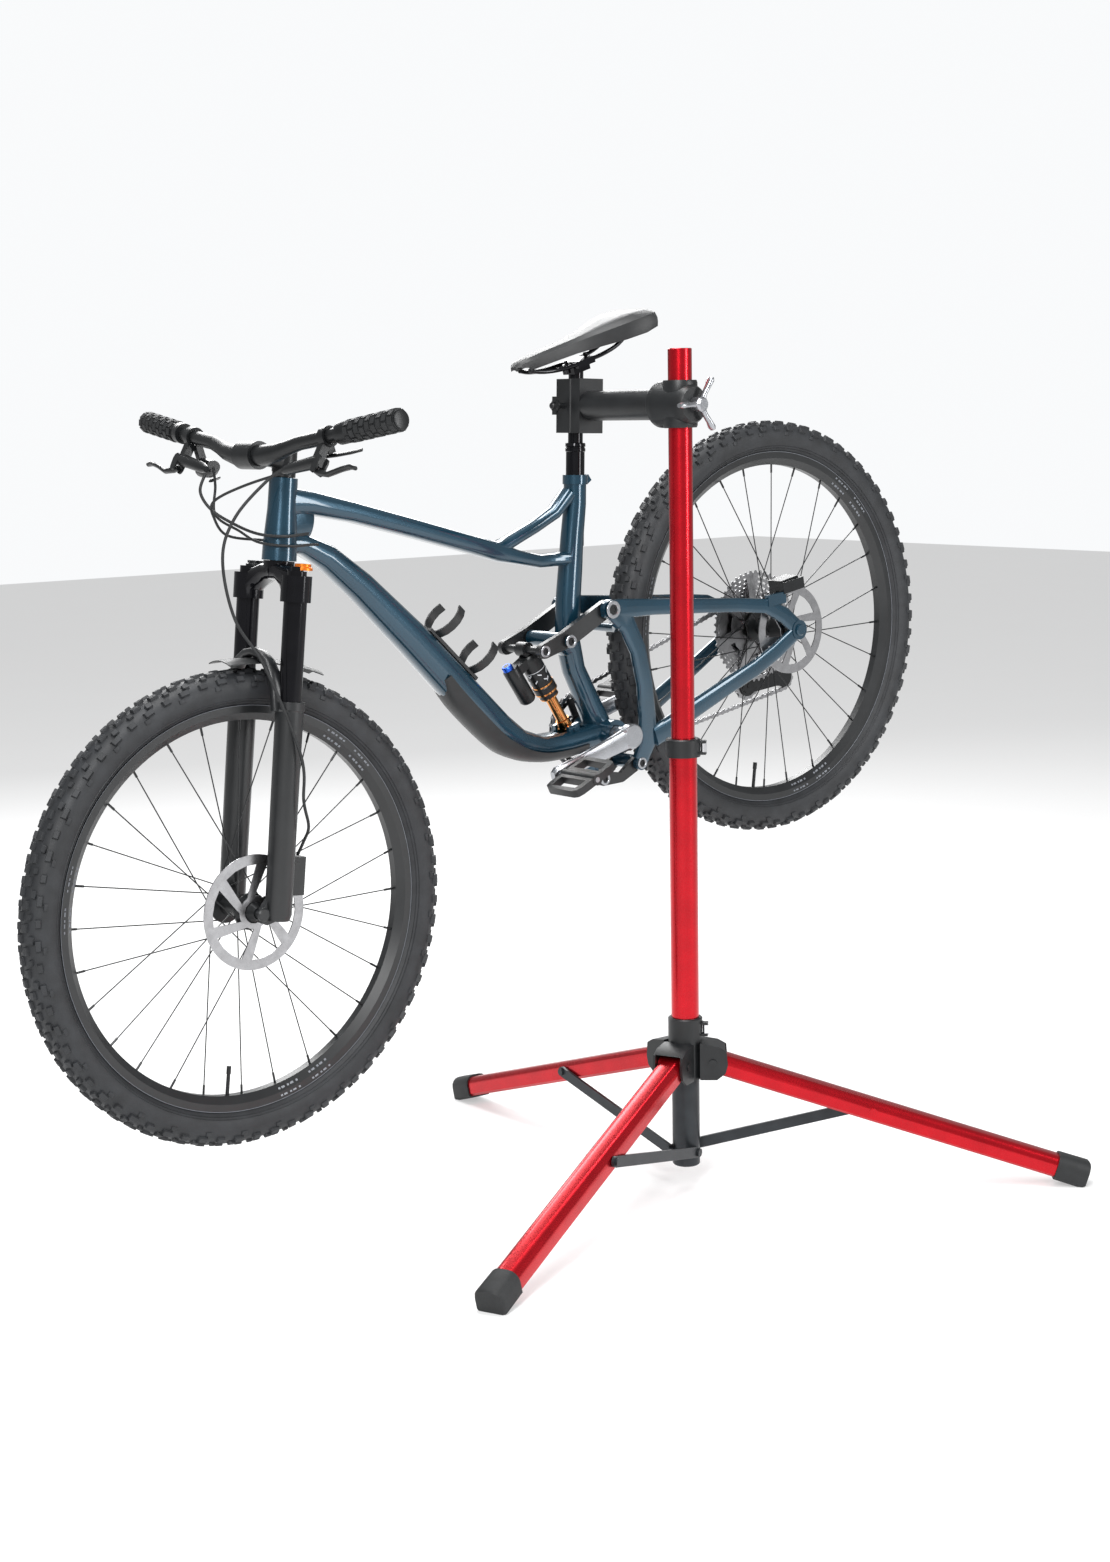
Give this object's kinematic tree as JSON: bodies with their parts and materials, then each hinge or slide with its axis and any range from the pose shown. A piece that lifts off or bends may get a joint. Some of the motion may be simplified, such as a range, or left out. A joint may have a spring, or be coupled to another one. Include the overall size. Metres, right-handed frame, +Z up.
{
  "type": "bicycle on stand",
  "caption": "Full-suspension mountain bicycle gripped by its seatpost in a folding tripod repair stand, with working folding, clamping, steering, suspension, wheels, cranks and levers.",
  "frame": {"origin": "on the floor under the middle of the whole object's bounding box", "axes": "+Z up; X along the bicycle, with its front wheel towards -X; +Y towards the bicycle's drive side, away from the stand"},
  "size_m": [1.8817, 1.14, 1.4505],
  "materials": {
    "frame_paint": "metallic petrol-blue gloss over carbon",
    "black_link": "satin black anodised",
    "red_anodised": "red anodised satin",
    "black_casting": "satin black powder coat",
    "charcoal": "charcoal satin",
    "silver": "brushed silver",
    "polished": "polished",
    "gloss_stanchion": "glossy black anodised",
    "satin_black": "satin black",
    "amber": "polished copper-amber coat",
    "steel": "brushed",
    "tyre": "matt rubber",
    "rubber": "matt rubber",
    "black_plastic": "matt black"
  },
  "bodies": {
    "stand": {"centre_post": "charcoal", "lower_mast": "red_anodised", "mast_collar": "black_casting"},
    "collar_lever": {"collar_lever": "polished"},
    "hub": {"tripod_hub": "black_casting"},
    "hub_lever": {"hub_lever": "polished"},
    "leg_front": {"leg_front": "red_anodised", "foot_front": "rubber"},
    "leg_right": {"leg_right": "red_anodised", "foot_right": "rubber"},
    "leg_left": {"leg_left": "red_anodised", "foot_left": "rubber"},
    "brace_front": {"brace_front": "charcoal"},
    "brace_right": {"brace_right": "charcoal"},
    "brace_left": {"brace_left": "charcoal"},
    "mast": {"upper_mast": "red_anodised", "clamp_head": "black_casting"},
    "head_knob": {"head_knob": "silver"},
    "arm": {"clamp_arm": "black_casting", "dropper_stanchion": "gloss_stanchion", "saddle": "black_plastic"},
    "moving_jaw": {"moving_jaw": "black_casting"},
    "jaw_knob": {"jaw_knob": "silver"},
    "frame": {"front_frame": "frame_paint", "dropper_outer": "satin_black", "bottle_cage": "black_plastic", "chain": "steel", "rear_hose_pair": "black_plastic", "dropper_cable": "black_plastic"},
    "steering": {"fork_crown": "gloss_stanchion", "stem": "satin_black", "handlebar": "satin_black", "brake_body_left": "satin_black", "brake_body_right": "satin_black", "front_brake_hose": "black_plastic"},
    "brake_blade_left": {"brake_blade_left": "satin_black"},
    "brake_blade_right": {"brake_blade_right": "satin_black"},
    "shifter_paddle": {"shifter_paddle": "satin_black"},
    "dropper_lever": {"dropper_lever": "satin_black"},
    "lowers": {"fork_lowers": "satin_black", "mudguard": "black_plastic"},
    "front_wheel": {"front_tyre": "tyre", "front_rim": "satin_black", "front_hub": "satin_black", "front_rotor": "steel"},
    "rocker": {"rocker_link": "black_link"},
    "link": {"lower_link": "black_link"},
    "rear": {"rear_triangle": "frame_paint", "derailleur_body": "satin_black"},
    "rear_wheel": {"rear_tyre": "tyre", "rear_rim": "satin_black", "rear_hub": "satin_black", "rear_rotor": "steel", "cassette": "steel"},
    "shock": {"shock_body": "satin_black"},
    "shaft": {"shock_shaft": "amber"},
    "crank": {"crankset": "silver"},
    "pedal_left": {"pedal_left": "black_plastic"},
    "pedal_right": {"pedal_right": "black_plastic"},
    "derailleur_cage": {"derailleur_cage": "satin_black"}
  },
  "joints": [
    {"name": "hub_slide", "type": "slide", "parent": "stand", "child": "hub", "axis": [0, 0, 1], "range_m": [0, 0.4]},
    {"name": "leg_front_fold", "type": "hinge", "parent": "hub", "child": "leg_front", "pos_m": [0.08052, -0.11561, 0.213], "axis": [0.3714, -0.9285, 0], "range_deg": [0, 57.5]},
    {"name": "brace_front_fold", "type": "hinge", "parent": "stand", "child": "brace_front", "pos_m": [0.11116, -0.10336, 0.059], "axis": [-0.3714, 0.9285, 0], "range_deg": [0, 56.5]},
    {"name": "leg_right_fold", "type": "hinge", "parent": "hub", "child": "leg_right", "pos_m": [0.15516, -0.12965, 0.213], "axis": [0.6833, 0.7302, 0], "range_deg": [0, 57.5]},
    {"name": "brace_right_fold", "type": "hinge", "parent": "stand", "child": "brace_right", "pos_m": [0.13106, -0.1071, 0.059], "axis": [-0.6833, -0.7302, 0], "range_deg": [0, 56.5]},
    {"name": "leg_left_fold", "type": "hinge", "parent": "hub", "child": "leg_left", "pos_m": [0.12477, -0.05397, 0.213], "axis": [-0.9985, 0.055, 0], "range_deg": [0, 57.5]},
    {"name": "brace_left_fold", "type": "hinge", "parent": "stand", "child": "brace_left", "pos_m": [0.12296, -0.08692, 0.059], "axis": [0.9985, -0.055, 0], "range_deg": [0, 56.5]},
    {"name": "hub_lever_turn", "type": "hinge", "parent": "hub", "child": "hub_lever", "pos_m": [0.14415, -0.12495, 0.2662], "axis": [0, 0, -1], "range_deg": [0, 120]},
    {"name": "collar_lever_turn", "type": "hinge", "parent": "stand", "child": "collar_lever", "pos_m": [0.14415, -0.12495, 0.73765], "axis": [0, 0, -1], "range_deg": [0, 120]},
    {"name": "mast_height", "type": "slide", "parent": "stand", "child": "mast", "axis": [0, 0, 1], "range_m": [-0.08, 0.25]},
    {"name": "head_knob_turn", "type": "hinge", "parent": "mast", "child": "head_knob", "pos_m": [0.1223, -0.0989, 1.29], "axis": [0, 1, 0], "continuous": true},
    {"name": "arm_tilt", "type": "hinge", "parent": "mast", "child": "arm", "pos_m": [0.1223, -0.0989, 1.29], "axis": [0, 1, 0], "range_deg": [-5, 60]},
    {"name": "jaw_slide", "type": "slide", "parent": "arm", "child": "moving_jaw", "axis": [-0.9995, 0, 0.0309], "range_m": [0, 0.02]},
    {"name": "jaw_knob_turn", "type": "hinge", "parent": "moving_jaw", "child": "jaw_knob", "pos_m": [0.08445, 0.1619, 1.29125], "axis": [0.9995, 0, -0.0309], "continuous": true},
    {"name": "dropper_slide", "type": "slide", "parent": "arm", "child": "frame", "axis": [0.0309, 0, 0.9995], "range_m": [0, 0.012]},
    {"name": "steering", "type": "hinge", "parent": "frame", "child": "steering", "pos_m": [-0.47702, 0.1619, 1.06255], "axis": [0.1057, 0, 0.9944], "range_deg": [-60, 60], "deforming": ["rear_hose_pair", "dropper_cable"]},
    {"name": "brake_blade_left_pull", "type": "hinge", "parent": "steering", "child": "brake_blade_left", "pos_m": [-0.53382, -0.0341, 1.20418], "axis": [-0.8766, 0, 0.4813], "range_deg": [0, 20], "stiffness_Nm_per_rad": 0.8},
    {"name": "brake_blade_right_pull", "type": "hinge", "parent": "steering", "child": "brake_blade_right", "pos_m": [-0.53382, 0.3579, 1.20418], "axis": [0.8766, 0, -0.4813], "range_deg": [0, 20], "stiffness_Nm_per_rad": 0.8},
    {"name": "shifter_paddle_push", "type": "hinge", "parent": "steering", "child": "shifter_paddle", "pos_m": [-0.49872, 0.3119, 1.18585], "axis": [-0.2962, 0, 0.9551], "range_deg": [0, 12], "stiffness_Nm_per_rad": 0.5},
    {"name": "dropper_lever_push", "type": "hinge", "parent": "steering", "child": "dropper_lever", "pos_m": [-0.49578, -0.0141, 1.22442], "axis": [0.2962, 0, -0.9551], "range_deg": [0, 12], "stiffness_Nm_per_rad": 0.5},
    {"name": "fork_travel", "type": "slide", "parent": "steering", "child": "lowers", "axis": [0.1057, 0, 0.9944], "range_m": [0, 0.085], "stiffness_N_per_m": 3000, "springref_m": -0.02, "deforming": ["front_brake_hose"]},
    {"name": "front_wheel_spin", "type": "hinge", "parent": "lowers", "child": "front_wheel", "pos_m": [-0.57168, 0.1619, 0.53221], "axis": [0, 1, 0], "continuous": true},
    {"name": "suspension", "type": "hinge", "parent": "frame", "child": "rocker", "pos_m": [0.05483, 0.1619, 0.90292], "axis": [0, -1, 0], "range_deg": [0, 24], "stiffness_Nm_per_rad": 250, "springref_deg": -5.73, "deforming": ["chain"]},
    {"name": "lower_link_turn", "type": "hinge", "parent": "frame", "child": "link", "pos_m": [0.14709, 0.1619, 0.65775], "axis": [0, -1, 0], "range_deg": [0, 26.6]},
    {"name": "rear_turn", "type": "hinge", "parent": "link", "child": "rear", "pos_m": [0.22722, 0.1619, 0.67757], "axis": [0, -1, 0], "range_deg": [-24.6, 0]},
    {"name": "shock_turn", "type": "hinge", "parent": "rocker", "child": "shock", "pos_m": [0.00337, 0.1619, 0.88958], "axis": [0, -1, 0], "range_deg": [-23.2, 0]},
    {"name": "shock_stroke", "type": "slide", "parent": "shock", "child": "shaft", "axis": [-0.5397, 0, 0.8419], "range_m": [0, 0.0222]},
    {"name": "rear_wheel_spin", "type": "hinge", "parent": "rear", "child": "rear_wheel", "pos_m": [0.5717, 0.1619, 0.8868], "axis": [0, 1, 0], "continuous": true},
    {"name": "derailleur_cage_swing", "type": "hinge", "parent": "rear", "child": "derailleur_cage", "pos_m": [0.56842, 0.1619, 0.77585], "axis": [0, 1, 0], "range_deg": [0, 25], "stiffness_Nm_per_rad": 2, "springref_deg": -17.19},
    {"name": "crank_spin", "type": "hinge", "parent": "frame", "child": "crank", "pos_m": [0.16724, 0.1619, 0.73456], "axis": [0, 1, 0], "continuous": true},
    {"name": "pedal_left_spin", "type": "hinge", "parent": "crank", "child": "pedal_left", "pos_m": [0.0069, 0.1619, 0.68789], "axis": [0, 1, 0], "continuous": true},
    {"name": "pedal_right_spin", "type": "hinge", "parent": "crank", "child": "pedal_right", "pos_m": [0.32759, 0.1619, 0.78124], "axis": [0, 1, 0], "continuous": true}
  ],
  "couplings": [
    {"joint": "leg_front_fold", "follows": "hub_slide", "rad_per_m": 2.483},
    {"joint": "brace_front_fold", "follows": "hub_slide", "rad_per_m": 2.442},
    {"joint": "leg_right_fold", "follows": "hub_slide", "rad_per_m": 2.483},
    {"joint": "brace_right_fold", "follows": "hub_slide", "rad_per_m": 2.442},
    {"joint": "leg_left_fold", "follows": "hub_slide", "rad_per_m": 2.483},
    {"joint": "brace_left_fold", "follows": "hub_slide", "rad_per_m": 2.442},
    {"joint": "lower_link_turn", "follows": "suspension", "ratio": 1.1042},
    {"joint": "rear_turn", "follows": "suspension", "ratio": -1.0196},
    {"joint": "shock_turn", "follows": "suspension", "ratio": -0.9617},
    {"joint": "shock_stroke", "follows": "suspension", "m_per_rad": 0.0524}
  ]
}
